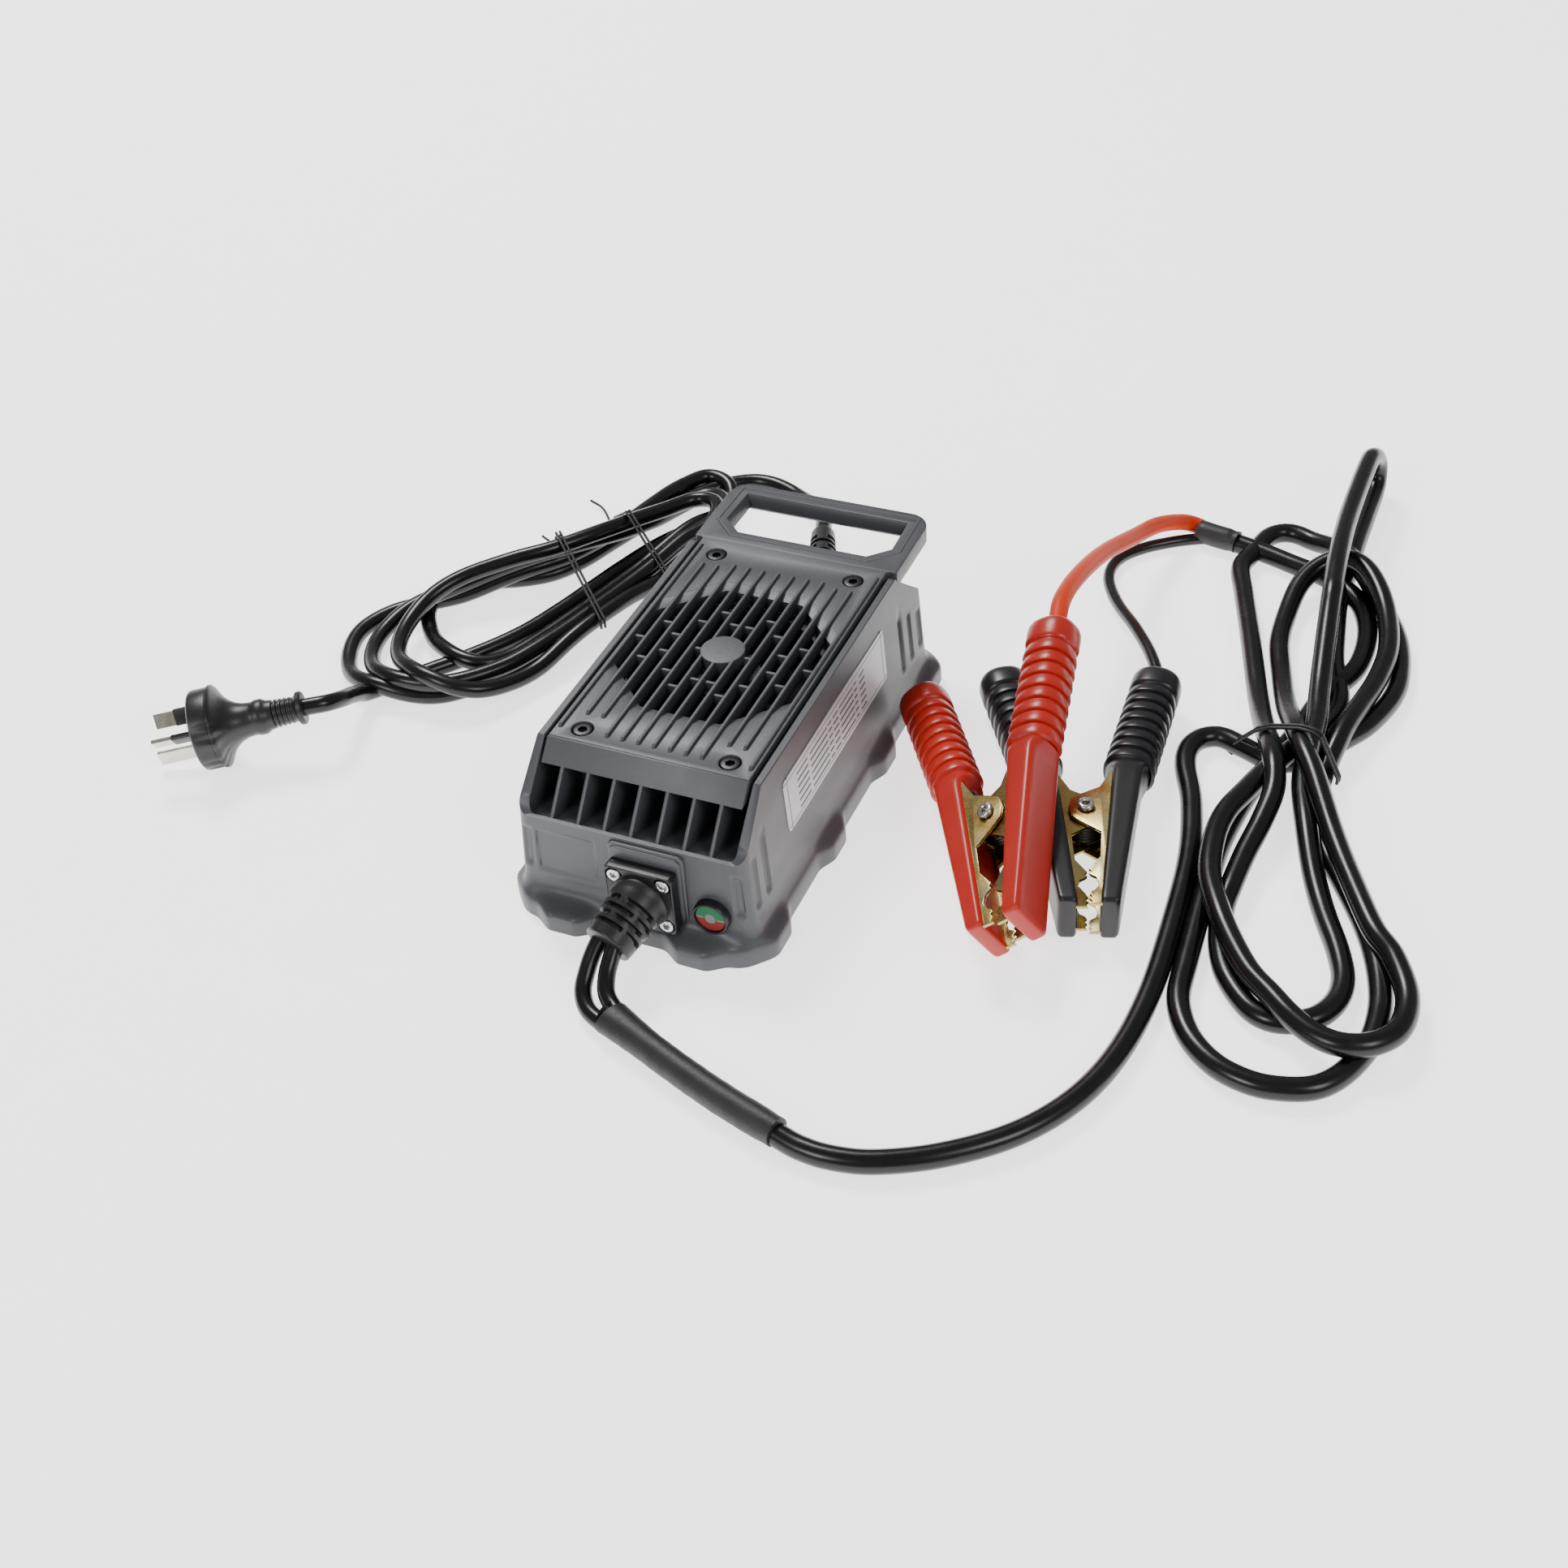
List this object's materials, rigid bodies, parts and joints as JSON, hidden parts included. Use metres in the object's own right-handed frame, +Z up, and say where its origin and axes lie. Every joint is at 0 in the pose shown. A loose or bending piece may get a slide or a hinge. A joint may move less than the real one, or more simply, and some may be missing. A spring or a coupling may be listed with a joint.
{
  "type": "car battery charger",
  "caption": "Fan-cooled car battery charger with carry handle, mains lead with plug, and an output lead ending in sprung clamps.",
  "frame": {"origin": "point of the flat underside below the fan's axis, midway between the cover's screws", "axes": "+Z up from the underside, -Y towards the output lead's gland, +Y towards the carry handle, +X towards the side with the rating label"},
  "size_m": [0.5169, 0.4664, 0.0694],
  "materials": {
    "black_cord": "glossy",
    "black_grip": "satin",
    "black_moulding": "satin",
    "black_plastic": "satin",
    "black_screw": "satin",
    "board": "plain",
    "bright_screw": "plain",
    "case_plastic": "fine texture",
    "cover_plastic": "fine texture",
    "fan_plastic": "plain",
    "heat_sink": "plain",
    "indicator": "glossy",
    "label": "satin",
    "pin_metal": "bright",
    "plated_steel": "zinc plated",
    "red_grip": "satin",
    "red_lead": "satin",
    "rivet_metal": "bright",
    "shrink_sleeve": "matt",
    "spring_steel": "oiled",
    "winding": "varnished"
  },
  "bodies": {
    "charger": {"base_plate": "case_plastic", "base_screw_1": "bright_screw", "base_screw_2": "bright_screw", "base_screw_3": "bright_screw", "base_screw_4": "bright_screw", "black_clamp_fixed_sheath": "black_grip", "black_clamp_fixed_steel": "plated_steel", "black_clamp_rivet": "rivet_metal", "black_clamp_spring": "spring_steel", "capacitor_1": "fan_plastic", "capacitor_2": "fan_plastic", "case_shell": "case_plastic", "circuit_board": "board", "cover_screw_1": "black_screw", "cover_screw_2": "black_screw", "cover_screw_3": "black_screw", "cover_screw_4": "black_screw", "fan_frame": "fan_plastic", "fan_stator": "winding", "gland_block": "black_plastic", "gland_screw_1": "bright_screw", "gland_screw_2": "bright_screw", "gland_screw_3": "bright_screw", "gland_screw_4": "bright_screw", "heat_spreader": "heat_sink", "inductor": "winding", "lead_black": "black_cord", "lead_red": "red_lead", "lead_sleeve": "shrink_sleeve", "mains_cord": "black_cord", "mains_hank": "black_cord", "mains_strain_relief": "black_moulding", "mains_tail": "black_cord", "mains_tie_1": "shrink_sleeve", "mains_tie_2": "shrink_sleeve", "output_cable": "black_cord", "output_hank": "black_cord", "output_lead_negative": "black_cord", "output_lead_positive": "black_cord", "output_strain_relief": "black_moulding", "output_tie": "shrink_sleeve", "plug_body": "black_moulding", "plug_pin_active": "pin_metal", "plug_pin_earth": "pin_metal", "plug_pin_neutral": "pin_metal", "rating_label": "label", "red_clamp_fixed_sheath": "red_grip", "red_clamp_fixed_steel": "plated_steel", "red_clamp_rivet": "rivet_metal", "red_clamp_spring": "spring_steel", "splice_sleeve": "shrink_sleeve", "status_bezel": "black_plastic", "status_lens": "indicator", "top_cover": "cover_plastic", "transformer": "winding"},
    "fan_rotor": {"fan_rotor": "fan_plastic"},
    "red_clamp_jaw": {"red_clamp_moving_sheath": "red_grip", "red_clamp_moving_steel": "plated_steel"},
    "black_clamp_jaw": {"black_clamp_moving_sheath": "black_grip", "black_clamp_moving_steel": "plated_steel"}
  },
  "joints": [
    {"name": "fan_spin", "type": "hinge", "parent": "charger", "child": "fan_rotor", "pos_m": [0, 0, 0.05], "axis": [0, 0, 1], "continuous": true},
    {"name": "red_clamp_open", "type": "hinge", "parent": "charger", "child": "red_clamp_jaw", "pos_m": [0.117, -0.0148, 0.0263], "axis": [0.4994, 0.2815, -0.8193], "range_deg": [0, 24], "stiffness_Nm_per_rad": 0.6, "springref_deg": -20.05},
    {"name": "black_clamp_open", "type": "hinge", "parent": "charger", "child": "black_clamp_jaw", "pos_m": [0.1426, 0.0126, 0.0119], "axis": [0, 0, 1], "range_deg": [0, 17], "stiffness_Nm_per_rad": 0.6, "springref_deg": -20.05}
  ]
}
